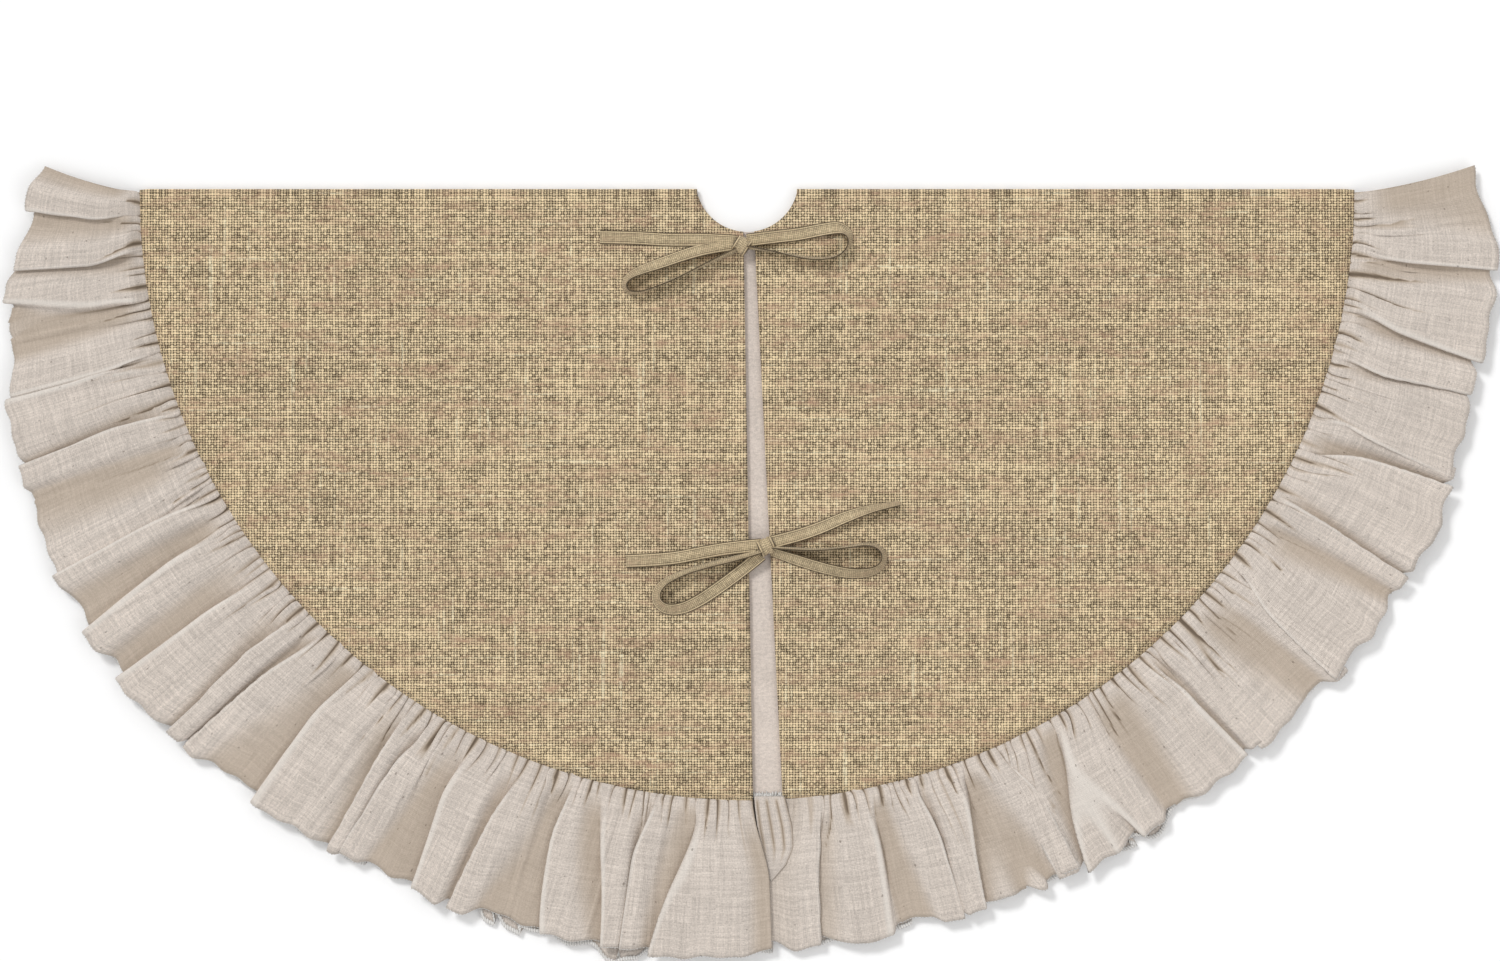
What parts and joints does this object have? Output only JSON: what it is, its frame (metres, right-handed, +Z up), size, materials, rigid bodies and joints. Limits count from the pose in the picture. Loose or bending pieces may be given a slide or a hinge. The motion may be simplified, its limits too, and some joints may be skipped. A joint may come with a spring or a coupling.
{
  "type": "tree skirt",
  "caption": "Round lined tree skirt with a gathered ruffle, folded in half, its slit closed by ribbon bows.",
  "frame": {"origin": "centre of the trunk hole, on the floor under the folded skirt", "axes": "+X along the fold, to the viewer's right; -Y from the fold toward the hem with the slit; +Z up, out of the front face"},
  "size_m": [1.2446, 0.6463, 0.0196],
  "materials": {
    "face_cloth": "plain-woven slubby tan cloth, heathered, matt",
    "tie_cloth": "folded and edge-stitched tape of the face cloth",
    "ruffle_cloth": "oatmeal linen and cotton cloth, crumpled, matt",
    "lining_cloth": "fine pale non-slip lining, matt",
    "edge_thread": "pale overlock thread",
    "sewing_thread": "tan sewing thread"
  },
  "bodies": {
    "front": {"upper_knot": "tie_cloth", "lower_knot": "tie_cloth", "front_left_face": "face_cloth", "front_left_lining": "lining_cloth", "front_left_ruffle": "ruffle_cloth", "front_left_overlock": "edge_thread", "front_left_seam_thread": "sewing_thread", "front_left_slit_thread": "sewing_thread", "front_left_neck_thread": "sewing_thread", "front_right_face": "face_cloth", "front_right_lining": "lining_cloth", "front_right_ruffle": "ruffle_cloth", "front_right_overlock": "edge_thread", "front_right_seam_thread": "sewing_thread", "front_right_slit_thread": "sewing_thread", "front_right_neck_thread": "sewing_thread", "upper_left_tail": "tie_cloth", "lower_left_tail": "tie_cloth", "lower_right_tail": "tie_cloth", "upper_left_loop": "tie_cloth", "upper_right_loop": "tie_cloth", "lower_left_loop": "tie_cloth", "lower_right_loop": "tie_cloth"},
    "back": {"back_face": "face_cloth", "back_lining": "lining_cloth", "back_neck_thread": "sewing_thread", "back_left_ruffle": "ruffle_cloth", "back_left_overlock": "edge_thread", "back_left_seam_thread": "sewing_thread", "back_right_ruffle": "ruffle_cloth", "back_right_overlock": "edge_thread", "back_right_seam_thread": "sewing_thread"}
  },
  "joints": [
    {"name": "fold", "type": "hinge", "parent": "front", "child": "back", "pos_m": [0, 0, 0.0037], "axis": [1, 0, 0], "range_deg": [0, 180]}
  ]
}
